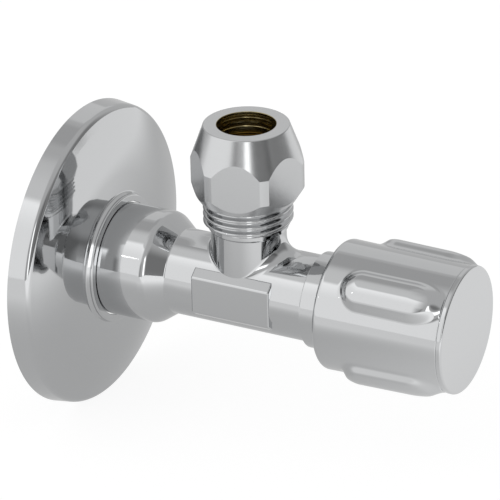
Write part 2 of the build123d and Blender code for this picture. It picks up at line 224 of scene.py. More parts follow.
@dataclass(frozen=True)
class TurnedMetal:
    """Metal cut on a lathe, with rings round its axis."""

    name: str
    colour: str
    dark_colour: str
    roughness: float
    ring_mm: float
    ring_height_mm: float
    stain_mm: float = 2.5

    def material(self) -> bpy.types.Material:
        """Makes the material: rings as a noise that changes with height only, and stains.

        Returns:
            The material.
        """
        material, tree, place = new_material(self.name)
        split = add_node(tree, SPLIT, {"Vector": place})
        height = add_node(tree, MATH, {0: split.outputs["Z"], 1: 1 / (self.ring_mm * MM)}, operation="MULTIPLY")
        rings = add_node(tree, NOISE, {"W": height, "Scale": 1.0, "Detail": 2.0}, noise_dimensions="1D")
        stain = add_node(tree, NOISE, {"Vector": place, "Scale": 1 / (self.stain_mm * MM), "Detail": 3.0})
        light, dark = linear_colour(self.colour), linear_colour(self.dark_colour)
        tone = add_node(tree, MIX, {"Factor": stain, "A": light, "B": dark}, data_type="RGBA")
        bump = add_node(tree, BUMP, {"Height": rings, "Strength": 1.0, "Distance": self.ring_height_mm * MM})
        shader = add_node(
            tree, SURFACE, {"Base Color": tone, "Metallic": 1.0, "Roughness": self.roughness, "Normal": bump}
        )
        add_node(tree, OUTPUT, {"Surface": shader})
        return material


@dataclass(frozen=True)
class MouldedRubber:
    """Black moulded rubber of the seals."""

    name: str
    colour: str
    roughness: float
    grain_mm: float
    grain_height_mm: float = 0.01
    grain_strength: float = 0.4

    def material(self) -> bpy.types.Material:
        """Makes the material: a fine matt grain.

        Returns:
            The material.
        """
        material, tree, place = new_material(self.name)
        grain = add_node(tree, NOISE, {"Vector": place, "Scale": 1 / (self.grain_mm * MM), "Detail": 3.0})
        bump = add_node(
            tree,
            BUMP,
            {"Height": grain, "Strength": self.grain_strength, "Distance": self.grain_height_mm * MM},
        )
        shader = add_node(
            tree, SURFACE, {"Base Color": linear_colour(self.colour), "Roughness": self.roughness, "Normal": bump}
        )
        add_node(tree, OUTPUT, {"Surface": shader})
        return material


# Bright chrome on the forged body: a mirror with the faint ripple that polishing leaves on brass.
POLISHED_BODY = PlatedChrome("polished_chrome_on_brass", "#C6C7C8", 0.035, 7.0, 0.012, 0.45, 0.0006, 0.03)
# Chrome on die-cast zinc: the smoothest mirror of the valve, with long clean reflection lines.
POLISHED_WHEEL = PlatedChrome("polished_chrome_on_zinc", "#C6C7C8", 0.025, 9.0, 0.006, 0.6, 0.0003, 0.02)
# Chrome on pressed sheet: slightly wavy from the press, so reflections bend.
POLISHED_SHEET = PlatedChrome("polished_chrome_on_sheet", "#C6C7C8", 0.04, 11.0, 0.035, 0.8, 0.0003, 0.03)
# The nut's milled flats are plated but not polished, so they read as even satin grey.
SATIN_FLATS = PlatedChrome("satin_chrome_on_milled_brass", "#C0C1C2", 0.21, 1.2, 0.006, 0.16, 0.0015, 0.06)
# The nut's turned cones keep their fine rings under the chrome, which draw light out into soft streaks.
TURNED_CONES = PlatedChrome("chrome_on_turned_brass", "#C6C7C8", 0.17, 1.6, 0.004, 0.3, 0.0012, 0.06)
# Unplated brass inside: warm, dark where it is stained. Its lathe rings are drawn coarse, so that they show.
TURNED_BRASS = TurnedMetal("turned_brass", "#C9B27A", "#8A7648", 0.28, 0.25, 0.008)
# The nut's bore shows its coarse turning rings, which catch the light as a broken golden streak.
TURNED_BORE = TurnedMetal("coarsely_turned_brass", "#DCCEA2", "#86784E", 0.2, 0.9, 0.26)
# Stainless steel of the screws and washer: cool grey with a dull shine.
STAINLESS = TurnedMetal("stainless_steel_turned", "#A9ABAE", "#95979A", 0.28, 0.1, 0.002)
# Rubber seals: matt near-black.
RUBBER = MouldedRubber("moulded_black_rubber", "#262626", 0.7, 0.2)


# Meshes


@dataclass
class Station:
    """A point of a turned outline, with the normals (along, radius) of the runs before and after it."""

    along: float
    radius: float
    before: tuple[float, float] = (0.0, 0.0)
    after: tuple[float, float] = (0.0, 0.0)


def rotated(direction: Sequence[float], angle: float) -> np.ndarray:
    """Turns a direction in the plane by an angle in radians."""
    c, s = math.cos(angle), math.sin(angle)
    return np.array([direction[0] * c - direction[1] * s, direction[0] * s + direction[1] * c])


def outline_stations(
    corners: Sequence[tuple[float, float, float]], closed: bool = True, steps: int = 8
) -> list[Station]:
    """Rounds the corners of an outline and gives each point its exact normals.

    Args:
        corners: Place along the axis, radius, and corner radius, counter-clockwise for a solid.
        closed: Whether the outline returns to its first corner.
        steps: Steps in each rounded corner.

    Returns:
        The outline's stations, in order.
    """
    points = [np.array(c[:2], float) for c in corners]
    runs = [ahead - here for here, ahead in zip(points, points[1:] + points[:1])]
    runs = [run / np.linalg.norm(run) for run in runs]
    last = len(points) - 1
    stations: list[Station] = []
    for i, (here, (_, _, radius)) in enumerate(zip(points, corners)):
        is_end = not closed and i in (0, last)
        d0, d1 = (runs[min(i, last - 1)],) * 2 if is_end else (runs[i - 1], runs[i])
        n0, n1 = np.array([d0[1], -d0[0]]), np.array([d1[1], -d1[0]])
        turn = math.atan2(d0[0] * d1[1] - d0[1] * d1[0], float(d0 @ d1))
        if radius <= 0 or is_end or abs(turn) < 1e-6:
            stations.append(Station(*here, tuple(n0), tuple(n1)))
            continue
        reach = math.copysign(radius, turn)
        centre = here - d0 * radius * math.tan(abs(turn) / 2) - n0 * reach
        for k in range(steps + 1):
            n = rotated(n0, turn * k / steps)
            stations.append(Station(*(centre + n * reach), tuple(n), tuple(n)))
    if closed:
        stations.append(replace(stations[0]))
    return stations


def ring(angles: np.ndarray, radius: np.ndarray | float, height: np.ndarray | float) -> np.ndarray:
    """Gives points round the Z axis, one for each angle."""
    return np.stack([radius * np.cos(angles), radius * np.sin(angles), height + 0 * angles], -1)


def in_scene(name: str, data: bpy.types.ID) -> bpy.types.Object:
    """Makes an object and puts it in the scene.

    Args:
        name: Its name.
        data: Its mesh, camera or light.

    Returns:
        The object.
    """
    thing = bpy.data.objects.new(name, data)
    bpy.context.scene.collection.objects.link(thing)
    return thing


@dataclass
class Shell:
    """A mesh in the making: grids of points with exact normals, welded where they meet."""

    name: str
    points: list[np.ndarray] = field(default_factory=list)
    faces: list[np.ndarray] = field(default_factory=list)
    normals: list[np.ndarray] = field(default_factory=list)
    slots: list[np.ndarray] = field(default_factory=list)
    total: int = 0

    def add_grid(self, points: np.ndarray, before: np.ndarray, after: np.ndarray, slot: int | np.ndarray = 0) -> None:
        """Adds a grid of faces.

        Args:
            points: Rows by columns by 3, in millimetres.
            before: Normals at each row for the faces before it.
            after: Normals at each row for the faces after it.
            slot: Material slot of all faces, or of each row of faces.
        """
        rows, columns = points.shape[:2]
        index = np.arange(rows * columns).reshape(rows, columns) + self.total
        quads = np.stack([index[:-1, :-1], index[:-1, 1:], index[1:, 1:], index[1:, :-1]], -1).reshape(-1, 4)
        normals = np.stack([after[:-1, :-1], after[:-1, 1:], before[1:, 1:], before[1:, :-1]], 2).reshape(-1, 4, 3)
        corners = points.reshape(-1, 3)[quads - self.total]
        flat = np.cross(corners[:, 2] - corners[:, 0], corners[:, 3] - corners[:, 1])
        if (flat * normals.sum(1)).sum() < 0:
            quads, normals = quads[:, ::-1], normals[:, ::-1]
        self.points.append(points.reshape(-1, 3))
        self.faces.append(quads)
        self.normals.append(normals)
        self.slots.append(np.repeat(np.broadcast_to(np.asarray(slot), (rows - 1,)), columns - 1))
        self.total += rows * columns

    def lathe(
        self,
        axis: Axis,
        stations: Sequence[Station],
        angles: np.ndarray,
        offset: float = 0.0,
        slot: int | np.ndarray = 0,
    ) -> None:
        """Turns an outline round one of the valve's axes.

        Args:
            axis: The axis.
            stations: The outline.
            angles: Angles of the columns, in radians, the last a full turn after the first.
            offset: Where the outlet's axis stands along the barrel.
            slot: Material slot of all faces, or of each row of faces.
        """
        grids = []
        for key in ("place", "before", "after"):
            pairs = np.array([(s.along, s.radius) if key == "place" else getattr(s, key) for s in stations])
            u, v, w = np.moveaxis(ring(angles + 0 * pairs[:, :1], pairs[:, 1:], pairs[:, :1]), -1, 0)
            grids.append(np.stack([w, u, v] if axis is Axis.BARREL else [u, v, w], -1))
        if axis is Axis.OUTLET:
            grids[0] = grids[0] + np.array([offset, 0, 0])
        self.add_grid(*grids, slot)

    def object(self, finishes: Sequence[bpy.types.Material]) -> bpy.types.Object:
        """Welds the grids and makes the object.

        Args:
            finishes: The materials, in slot order.

        Returns:
            The object, with exact normals.
        """
        points, faces = np.concatenate(self.points), np.concatenate(self.faces)
        normals, slots = np.concatenate(self.normals), np.concatenate(self.slots)
        rounded = np.round(points / WELD).astype(np.int64)
        _, kept, index = np.unique(rounded, axis=0, return_index=True, return_inverse=True)
        faces = index.ravel()[faces]
        polygons, corner_normals, polygon_slots = [], [], []
        for quad, normal, slot in zip(faces.tolist(), normals, slots.tolist()):
            keep = [k for k in range(4) if quad[k] != quad[k - 1]]
            if len({quad[k] for k in keep}) >= 3:
                polygons.append([quad[k] for k in keep])
                corner_normals.extend(normal[keep])
                polygon_slots.append(slot)
        mesh = bpy.data.meshes.new(self.name)
        mesh.from_pydata((points[kept] * MM).tolist(), [], polygons)
        for finish in finishes:
            mesh.materials.append(finish)
        mesh.polygons.foreach_set("material_index", polygon_slots)
        mesh.polygons.foreach_set("use_smooth", [True] * len(polygons))
        unit = np.array(corner_normals)
        unit /= np.linalg.norm(unit, axis=1, keepdims=True)
        mesh.normals_split_custom_set(unit.tolist())
        return in_scene(self.name, mesh)


def full_turn(segments: int) -> np.ndarray:
    """Gives evenly spaced angles round a full turn, both ends included."""
    return np.linspace(0, 2 * math.pi, segments + 1)


def carved_by_nodes(thing: bpy.types.Object, tree: bpy.types.NodeTree, values: dict[str, object]) -> bpy.types.Object:
    """Runs a Geometry Nodes tree on an object and keeps the result as a plain mesh.

    Args:
        thing: The object.
        tree: The tree.
        values: The tree's inputs, by name.

    Returns:
        The same object with its new mesh.
    """
    modifier = thing.modifiers.new(tree.name, "NODES")
    modifier.node_group = tree
    for item in tree.interface.items_tree:
        if item.in_out == "INPUT" and item.name in values:
            modifier[item.identifier] = values[item.name]
    return made_plain(thing)


def made_plain(thing: bpy.types.Object) -> bpy.types.Object:
    """Turns an object with modifiers to a plain mesh and removes them.

    Args:
        thing: The object.

    Returns:
        The same object with its new mesh.
    """
    graph = bpy.context.evaluated_depsgraph_get()
    mesh = bpy.data.meshes.new_from_object(thing.evaluated_get(graph))
    thing.modifiers.clear()
    old, thing.data = thing.data, mesh
    bpy.data.meshes.remove(old)
    mesh.name = thing.name
    return thing


def new_tree(name: str, inputs: dict[str, str]) -> tuple[bpy.types.NodeTree, dict[str, object]]:
    """Starts a Geometry Nodes tree.

    Args:
        name: The tree's name.
        inputs: Its inputs' names and socket types, besides the geometry.

    Returns:
        The tree, and by name the sockets to start from: its inputs, and each point's X, Y and Z.
    """
    tree = bpy.data.node_groups.new(name, "GeometryNodeTree")
    tree.interface.new_socket(name="Geometry", in_out="INPUT", socket_type="NodeSocketGeometry")
    for label, kind in inputs.items():
        tree.interface.new_socket(name=label, in_out="INPUT", socket_type=kind)
    tree.interface.new_socket(name="Geometry", in_out="OUTPUT", socket_type="NodeSocketGeometry")
    given = add_node(tree, "NodeGroupInput")
    made = {label: given.outputs[label] for label in ("Geometry", *inputs)}
    split = add_node(tree, SPLIT, {0: add_node(tree, "GeometryNodeInputPosition")})
    made |= {label: split.outputs[label] for label in "XYZ"}
    return tree, made


def end_tree(tree: bpy.types.NodeTree, shape: bpy.types.Node, finish: bpy.types.NodeSocket) -> bpy.types.NodeTree:
    """Ends a Geometry Nodes tree: smooth faces, real geometry, and its material.

    Args:
        tree: The tree.
        shape: The node that gives the finished shape.
        finish: The input that names the material.

    Returns:
        The same tree.
    """
    smooth = add_node(tree, "GeometryNodeSetShadeSmooth", {"Geometry": shape})
    real = add_node(tree, "GeometryNodeRealizeInstances", {"Geometry": smooth})
    finished = add_node(tree, "GeometryNodeSetMaterial", {"Geometry": real, "Material": finish})
    add_node(tree, "NodeGroupOutput", {"Geometry": finished})
    return tree


# Screw threads


@dataclass
class ScrewThread:
    """A parallel pipe thread as a closed sleeve round its core."""

    name: str
    axis: Axis
    pitch: float
    major_r: float
    minor_r: float
    inner_r: float
    start: float
    end: float
    start_r: float
    start_slope: float
    end_chamfer: float
    offset: float = 0.0
    columns: int = 120
    rows_per_pitch: int = 14
    sharp_deg: float = 50.0

    @staticmethod
    def tree() -> bpy.types.NodeTree:
        """Builds the thread's tree: a sheared grid whose rows follow the helix.

        Returns:
            The tree, for every thread.
        """
        lengths = ("Pitch", "Major Radius", "Minor Radius", "Inner Radius", "Start", "End", "Start Radius")
        inputs = {"Columns": "NodeSocketInt", "Rows": "NodeSocketInt"}
        inputs |= {name: NUMBER for name in (*lengths, "Start Slope", "End Radius", "Rows Per Pitch")}
        inputs |= {"Turn": "NodeSocketRotation", "Place": "NodeSocketVector", "Finish": "NodeSocketMaterial"}
        tree, made = new_tree("screw_thread", inputs)
        grid = add_node(
            tree,
            "GeometryNodeMeshGrid",
            {"Vertices X": made["Columns"], "Vertices Y": made["Rows"], "Size X": 1.0, "Size Y": 1.0},
        )
        steps = (
            ("round share", "ADD", "X", 0.5),
            ("rise share", "ADD", "Y", 0.5),
            ("last row", "SUBTRACT", "Rows", 1.0),
            ("raw row", "MULTIPLY", "rise share", "last row"),
            ("row", "ROUND", "raw row"),
            ("turns", "DIVIDE", "row", "Rows Per Pitch"),
            # One pitch is given away below the start, because the rows rise by a pitch round the turn.
            ("below", "SUBTRACT", "turns", 1.0),
            ("climbed", "ADD", "below", "round share"),
            ("rise", "MULTIPLY_ADD", "climbed", "Pitch", "Start"),
            ("low", "MAXIMUM", "rise", "Start"),
            ("high", "MINIMUM", "low", "End"),
            ("phase", "FRACT", "turns"),
            ("doubled", "MULTIPLY_ADD", "phase", 2.0, -1.0),
            ("ridge", "ABSOLUTE", "doubled"),
            ("from start", "SUBTRACT", "high", "Start"),
            ("lead in", "MULTIPLY_ADD", "from start", "Start Slope", "Start Radius"),
            ("to end", "SUBTRACT", "End", "high"),
            ("lead out", "ADD", "to end", "End Radius"),
            # The first row and the last two run on the inner wall, and close the sleeve.
            ("first", "LESS_THAN", "row", 0.5),
            ("inner row", "SUBTRACT", "last row", 1.5),
            ("closing", "GREATER_THAN", "row", "inner row"),
            ("inside", "MAXIMUM", "first", "closing"),
            ("final row", "SUBTRACT", "last row", 0.5),
            ("final", "GREATER_THAN", "row", "final row"),
            ("down", "MAXIMUM", "first", "final"),
            ("angle", "MULTIPLY", "round share", 2 * math.pi),
            ("cosine", "COSINE", "angle"),
            ("sine", "SINE", "angle"),
        )
        add_steps(tree, MATH, made, steps)
        # Root and crest are flat over this share of half a pitch, and the flanks run smoothly between.
        flat = 0.12
        limits = {"From Min": flat, "From Max": 1 - flat}
        radii = {"To Min": made["Minor Radius"], "To Max": made["Major Radius"]}
        made["flank"] = add_node(
            tree, MAP_RANGE, {"Value": made["ridge"], **limits, **radii}, interpolation_type="SMOOTHSTEP"
        )
        add_steps(tree, MATH, made, (("cut", "MINIMUM", "flank", "lead in"), ("crest", "MINIMUM", "cut", "lead out")))
        for name, choice, off, on in (
            ("radius", "inside", "crest", "Inner Radius"),
            ("topped", "closing", "high", "End"),
            ("level", "down", "topped", "Start"),
        ):
            made[name] = add_node(tree, MIX, {"Factor": made[choice], "A": made[off], "B": made[on]}, data_type="FLOAT")
        add_steps(tree, MATH, made, (("u", "MULTIPLY", "cosine", "radius"), ("v", "MULTIPLY", "sine", "radius")))
        point = add_node(tree, JOIN, {0: made["u"], 1: made["v"], 2: made["level"]})
        bent = add_node(tree, "GeometryNodeSetPosition", {"Geometry": grid, "Position": point})
        welded = add_node(tree, "GeometryNodeMergeByDistance", {"Geometry": bent, "Distance": WELD * MM})
        moved = add_node(
            tree, "GeometryNodeTransform", {"Geometry": welded, "Rotation": made["Turn"], "Translation": made["Place"]}
        )
        return end_tree(tree, moved, made["Finish"])

    def build(self, tree: bpy.types.NodeTree, finish: bpy.types.Material) -> bpy.types.Object:
        """Makes the thread's object.

        Args:
            tree: The thread's tree.
            finish: Its material.

        Returns:
            The sleeve as a plain mesh.
        """
        # One pitch more at each end, and three rows that close the sleeve.
        pitches = math.ceil((self.end - self.start) / self.pitch) + 2
        lengths = {
            "Pitch": self.pitch,
            "Major Radius": self.major_r,
            "Minor Radius": self.minor_r,
            "Inner Radius": self.inner_r,
            "Start": self.start,
            "End": self.end,
            "Start Radius": self.start_r,
            "End Radius": self.major_r - self.end_chamfer,
        }
        values = {
            "Columns": self.columns + 1,
            "Rows": pitches * self.rows_per_pitch + 3,
            "Start Slope": self.start_slope,
            "Rows Per Pitch": float(self.rows_per_pitch),
            "Turn": (math.pi / 2, 0.0, math.pi / 2) if self.axis is Axis.BARREL else (0.0, 0.0, 0.0),
            "Place": (self.offset * MM, 0.0, 0.0),
            "Finish": finish,
        }
        thing = in_scene(self.name, bpy.data.meshes.new(self.name))
        carved_by_nodes(thing, tree, {**values, **{name: length * MM for name, length in lengths.items()}})
        facing_out(thing.data)
        thing.data.set_sharp_from_angle(angle=math.radians(self.sharp_deg))
        return thing


def facing_out(mesh: bpy.types.Mesh) -> None:
    """Turns the faces of a closed mesh outwards.

    Args:
        mesh: The mesh.
    """
    work = bmesh.new()
    work.from_mesh(mesh)
    bmesh.ops.recalc_face_normals(work, faces=work.faces)
    work.to_mesh(mesh)
    work.free()


# Valve body


@dataclass
class ValveBody:
    """The forged body: bell, barrel with two wrench pads, and the outlet's neck and stub."""

    outlet_x: float
    inlet_end_x: float
    front_x: float
    bell_r: float
    stub_top_z: float
    barrel_r: float = 8.1
    bell_back_x: float = 4.4
    bell_length: float = 13.5
    shoulder_length: float = 3.6
    shoulder_radius: float = 2.6
    shoulder_fillet: float = 0.6
    bell_edge_radius: float = 0.35
    relief_width: float = 2.0
    relief_r: float = 9.5
    inlet_core_r: float = 9.25
    inlet_bore_r: float = 6.25
    throat_x: float = 25.8
    seat_x: float = 30.05
    seat_bore_r: float = 4.2
    seat_lip_r: float = 5.0
    seat_lip_height: float = 1.25
    chamber_r: float = 6.0
    thread_back_x: float = 42.3
    thread_bore_r: float = 6.6
    mouth_chamfer: float = 1.0
    mouth_edge_radius: float = 0.25
    inlet_edge_radius: float = 0.2
    seat_edge_radius: float = 0.1
    neck_r: float = 7.0
    neck_top_z: float = 11.9
    stub_core_r: float = 7.4
    socket_r: float = 5.1
    socket_floor_z: float = 13.0
    cone_start_z: float = 21.9
    cone_top_r: float = 6.95
    port_r: float = 3.5
    fillet_small: float = 0.9
    fillet_large: float = 3.4
    wall_middle_r: float = 7.3
    pad_half_length: float = 8.0
    pad_y: float = 8.3
    pad_half_height: float = 3.575
    facet_y: float = 6.4
    facet_z: float = 5.0
    pad_edge_radius: float = 0.32
    pad_foot: tuple[float, float] = (0.2, 0.25)
    pad_edge_steps: int = 5
    pad_sharp_deg: float = 25.0
    port_gap: float = 0.02
    top_gap: float = 0.02
    neck_chamfer: float = 0.45
    fillet_spread: float = 1.5
    fillet_rows: int = 17
    port_segments: int = 96
    segments: int = 256

    def barrel(self, finish: bpy.types.Material) -> bpy.types.Object:
        """Turns the bell and barrel with the bores inside them, and bores the port.

        Args:
            finish: Its material.

        Returns:
            The barrel's object.
        """
        bell_front = self.bell_back_x + self.bell_length
        corners = [
            (self.inlet_end_x, self.inlet_bore_r, self.inlet_edge_radius),
            (self.throat_x - (self.inlet_bore_r - self.seat_bore_r), self.inlet_bore_r, 0),
            (self.throat_x, self.seat_bore_r, 0),
            (self.seat_x, self.seat_bore_r, self.seat_edge_radius),
            (self.seat_x, self.seat_lip_r, self.seat_edge_radius),
            (self.seat_x - self.seat_lip_height, self.seat_lip_r, 0),
            (self.seat_x - self.seat_lip_height, self.chamber_r, 0),
            (self.thread_back_x, self.chamber_r, 0),
            (self.thread_back_x, self.thread_bore_r, 0),
            (self.front_x - self.mouth_chamfer, self.thread_bore_r, 0),
            (self.front_x, self.thread_bore_r + self.mouth_chamfer, 0),
            (self.front_x, self.barrel_r, self.mouth_edge_radius),
            (bell_front + self.shoulder_length, self.barrel_r, self.shoulder_fillet),
            (bell_front, self.bell_r, self.shoulder_radius),
            (self.bell_back_x, self.bell_r, self.bell_edge_radius),
            (self.bell_back_x, self.relief_r, 0),
            (self.bell_back_x - self.relief_width, self.relief_r, 0),
            (self.bell_back_x - self.relief_width, self.inlet_core_r, 0),
            (self.inlet_end_x, self.inlet_core_r, self.inlet_edge_radius),
        ]
        shell = Shell("valve_barrel")
        shell.lathe(Axis.BARREL, outward(outline_stations(corners)), full_turn(self.segments))
        thing = shell.object([finish])
        cutter = Shell("port_cutter")
        port = outline_stations(
            [(0.0, 0.0, 0), (0.0, self.port_r, 0), (self.neck_top_z, self.port_r, 0), (self.neck_top_z, 0.0, 0)],
            closed=False,
        )
        cutter.lathe(Axis.OUTLET, outward(port), full_turn(self.port_segments), self.outlet_x)
        tool = cutter.object([finish])
        cut = thing.modifiers.new("port", "BOOLEAN")
        cut.operation, cut.solver, cut.object = "DIFFERENCE", "EXACT", tool
        made_plain(thing)
        bpy.data.objects.remove(tool)
        return thing

    def neck(self, finish: bpy.types.Material) -> bpy.types.Object:
        """Builds the outlet's neck with its fillet round the saddle, and the stub with its socket.

        Args:
            finish: Its material.

        Returns:
            The neck's object.
        """
        angles = full_turn(self.segments)
        cosine, sine = np.cos(angles), np.sin(angles)
        # A ball rolls between barrel and neck, widest towards the handwheel and small on the other sides.
        wide = np.clip(cosine, 0, 1) ** self.fillet_spread
        ball = self.fillet_small + (self.fillet_large - self.fillet_small) * wide
        reach, span = self.neck_r + ball, self.barrel_r + ball
        ball_z = np.sqrt(span**2 - (reach * sine) ** 2)
        to_barrel = np.stack([0 * cosine, -reach * sine, -ball_z], -1) / span[:, None]
        to_neck = ring(angles, -1.0, 0.0)
        opening = np.arccos(np.clip((to_barrel * to_neck).sum(-1), -1, 1))[:, None]
        shares = np.linspace(0, 1, self.fillet_rows)[:, None, None]
        towards = (np.sin((1 - shares) * opening) * to_barrel + np.sin(shares * opening) * to_neck) / np.sin(opening)
        fillet = ring(angles, reach, ball_z) + towards * ball[:, None]
        # Below its contact with the barrel, the shell goes on inside the barrel's wall.
        inwards = self.wall_middle_r / self.barrel_r
        hidden = fillet[0] * np.array([1, inwards, inwards])
        bore_r = self.port_r + self.port_gap
        bore = ring(angles, bore_r, np.sqrt(self.wall_middle_r**2 - (bore_r * sine) ** 2))
        outwards = ring(angles, 1.0, 0.0)
        shell = Shell("valve_outlet")
        for rows, facing in (
            ([bore, hidden], np.array([0.0, 0.0, -1.0])),
            ([hidden, fillet[0]], outwards),
            (fillet, -towards),
            ([fillet[-1], ring(angles, self.neck_r, self.neck_top_z)], outwards),
            ([ring(angles, bore_r, self.socket_floor_z), bore], -outwards),
        ):
            points = np.stack(rows) + np.array([self.outlet_x, 0, 0])
            normals = np.broadcast_to(facing, points.shape)
            shell.add_grid(points, normals, normals)
        top_z = self.stub_top_z - self.top_gap
        stub = outline_stations(
            [
                (self.neck_top_z, self.neck_r, 0),
                (self.neck_top_z + self.neck_chamfer, self.stub_core_r, 0),
                (top_z, self.stub_core_r, 0),
                (top_z, self.cone_top_r, 0),
                (self.cone_start_z, self.socket_r, 0),
                (self.socket_floor_z, self.socket_r, 0),
                (self.socket_floor_z, bore_r, 0),
            ],
            closed=False,
        )
        shell.lathe(Axis.OUTLET, outward(stub), angles, self.outlet_x)
        return shell.object([finish])

    def pad(self, side: Side, finish: bpy.types.Material) -> bpy.types.Object:
        """Builds a wrench pad: a bare flat with small rounded edges.

        Args:
            side: Which side of the body.
            finish: Its material.

        Returns:
            The pad's object.
        """
        foot_y, foot_z = self.facet_y - self.pad_foot[0], self.facet_z - self.pad_foot[1]
        upper = [(self.pad_y, self.pad_half_height), (self.facet_y, self.facet_z), (foot_y, foot_z)]
        section = [(y, -z) for y, z in reversed(upper)] + upper
        work = bmesh.new()
        ends = []
        for x in (self.outlet_x - self.pad_half_length, self.outlet_x + self.pad_half_length):
            ends.append([work.verts.new((x * MM, side.value * y * MM, z * MM)) for y, z in section])
        work.faces.new(ends[0])
        work.faces.new(ends[1])
        count = len(section)
        for i in range(count):
            work.faces.new([ends[0][i], ends[0][(i + 1) % count], ends[1][(i + 1) % count], ends[1][i]])
        bmesh.ops.recalc_face_normals(work, faces=work.faces)
        above_y = (self.facet_y + foot_y) / 2 * MM
        bmesh.ops.bevel(
            work,
            geom=[e for e in work.edges if all(abs(v.co.y) > above_y for v in e.verts)],
            offset=self.pad_edge_radius * MM,
            segments=self.pad_edge_steps,
            profile=0.5,
            affect="EDGES",
            clamp_overlap=True,
        )
        name = f"wrench_pad_{side.name.lower()}"
        mesh = bpy.data.meshes.new(name)
        work.to_mesh(mesh)
        work.free()
        mesh.materials.append(finish)
        mesh.polygons.foreach_set("use_smooth", [True] * len(mesh.polygons))
        mesh.set_sharp_from_angle(angle=math.radians(self.pad_sharp_deg))
        thing = in_scene(name, mesh)
        weighted = thing.modifiers.new("even_light", "WEIGHTED_NORMAL")
        weighted.keep_sharp = True
        return made_plain(thing)

    def build(self, finish: bpy.types.Material) -> list[bpy.types.Object]:
        """Builds the body's shells and puts them on the valve.

        Args:
            finish: Their material.

        Returns:
            The shells' objects, the barrel first.
        """
        pieces = [self.barrel(finish), self.neck(finish), *(self.pad(side, finish) for side in Side)]
        for piece in pieces:
            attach(piece, "valve")
        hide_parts("valve_body")
        return pieces


def outward(stations: list[Station]) -> list[Station]:
    """Points an outline's normals away from the solid that it bounds.

    Args:
        stations: The outline.

    Returns:
        The same stations, with normals on the side that faces away from the section.
    """
    shape = np.array([(s.along, s.radius) for s in stations])
    step = np.roll(shape, -1, 0)
    area = (shape[:, 0] * step[:, 1] - shape[:, 1] * step[:, 0]).sum()
    if area < 0:
        for s in stations:
            s.before = (-s.before[0], -s.before[1])
            s.after = (-s.after[0], -s.after[1])
    return stations


# Compression nut


@dataclass
class CompressionNut:
    """The hexagon nut: satin flats with narrow round corners, turned cones and a brass bore."""

    outlet_x: float
    bottom_z: float
    top_z: float
    flat_r: float = 9.5
    corner_r: float = 10.5
    skirt_r: float = 9.0
    skirt_height: float = 2.4
    cone_height: float = 7.0
    top_r: float = 7.93
    bore_r: float = 5.43
    cone_end_z: float = 28.6
    pocket_r: float = 7.0
    pocket_top_z: float = 26.1
    shelf_z: float = 24.8
    thread_bore_r: float = 8.38
    corner_deg: float = 14.2
    lip_radius: float = 0.3
    lip_edge_radius: float = 0.24
    bore_edge_radius: float = 0.15
    skirt_rows: int = 2
    cone_rows: int = 5
    columns_per_flat: int = 24
    columns_per_strip: int = 4

    def build(self, finishes: Sequence[bpy.types.Material]) -> bpy.types.Object:
        """Builds the nut.

        Args:
            finishes: Satin chrome, turned chrome and turned brass.

        Returns:
            The nut's object.
        """
        satin, turned, brass = range(3)
        half = math.acos(self.flat_r / self.corner_r)
        shell = Shell("hexagon_nut")
        centre = np.array([self.outlet_x, 0.0, 0.0])
        lower_slope = (self.corner_r - self.skirt_r) / self.skirt_height
        upper_slope = (self.corner_r - self.top_r) / self.cone_height
        lip_z, lip_r = self.top_z - self.lip_radius, self.top_r + self.lip_radius * upper_slope
        all_angles = []
        for side in range(6):
            middle = math.radians(self.corner_deg + 30 + 60 * side)
            across = np.linspace(-half, half, self.columns_per_flat + 1)
            strip = np.linspace(half, math.radians(60) - half, self.columns_per_strip + 1)
            for local, is_flat in ((across, True), (strip, False)):
                angles = middle + local
                all_angles.extend(angles[:-1])
                radius = self.flat_r / np.cos(local) if is_flat else np.full(len(local), self.corner_r)
                low = self.bottom_z + (radius - self.skirt_r) / lower_slope
                high = self.top_z - (radius - self.top_r) / upper_slope
                edge = [ring(angles, radius, z) + centre for z in (low, high)]
                face = ring(middle + 0 * local if is_flat else angles, 1.0, 0.0)
                normals = np.stack([face, face])
                shell.add_grid(np.stack(edge), normals, normals, satin)
                for limit, bound, slope, sign, steps in (
                    (self.bottom_z, edge[0], lower_slope, -1, self.skirt_rows),
                    (lip_z, edge[1], upper_slope, 1, self.cone_rows),
                ):
                    end = ring(angles, self.skirt_r if sign < 0 else lip_r, limit) + centre
                    rows = np.stack([bound + (end - bound) * t for t in np.linspace(0, 1, steps + 1)])
                    tilted = np.broadcast_to(ring(angles, 1.0, sign * slope) / math.hypot(1, slope), rows.shape)
                    shell.add_grid(rows, tilted, tilted, turned)
        angles = np.array([*all_angles, all_angles[0] + 2 * math.pi])
        rim = outline_stations(
            [
                (lip_z, lip_r, 0),
                (self.top_z, self.top_r, self.lip_edge_radius),
                (self.top_z, self.bore_r, self.bore_edge_radius),
                (self.cone_end_z, self.bore_r, 0),
                (self.pocket_top_z, self.pocket_r, 0),
                (self.shelf_z, self.pocket_r, 0),
                (self.shelf_z, self.thread_bore_r, 0),
                (self.bottom_z, self.thread_bore_r, 0),
                (self.bottom_z, self.skirt_r, 0),
            ],
            closed=False,
        )
        # Chrome covers the rim's top and the skirt's end, and all inside is brass.
        top_only, edge_only = self.top_z - 0.5, self.bore_r + 0.1
        plated = [a.along > top_only and (a.radius + b.radius) / 2 > edge_only for a, b in zip(rim, rim[1:])]
        plated[-1] = True
        shell.lathe(Axis.OUTLET, outward(rim), angles, self.outlet_x, np.where(plated, turned, brass))
        thing = shell.object(finishes)
        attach(thing, "nut")
        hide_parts("compression_nut")
        return thing


# Bonnet


@dataclass
class Bonnet:
    """The bonnet's flange shows between barrel and handwheel; its hexagon and gland are inside the wheel."""

    node: bpy.types.Object

    def build(self, finish: bpy.types.Material) -> bpy.types.Object:
        """Dresses the CAD node, whose shape is right."""
        return dressed(self.node, finish)


# Handwheel


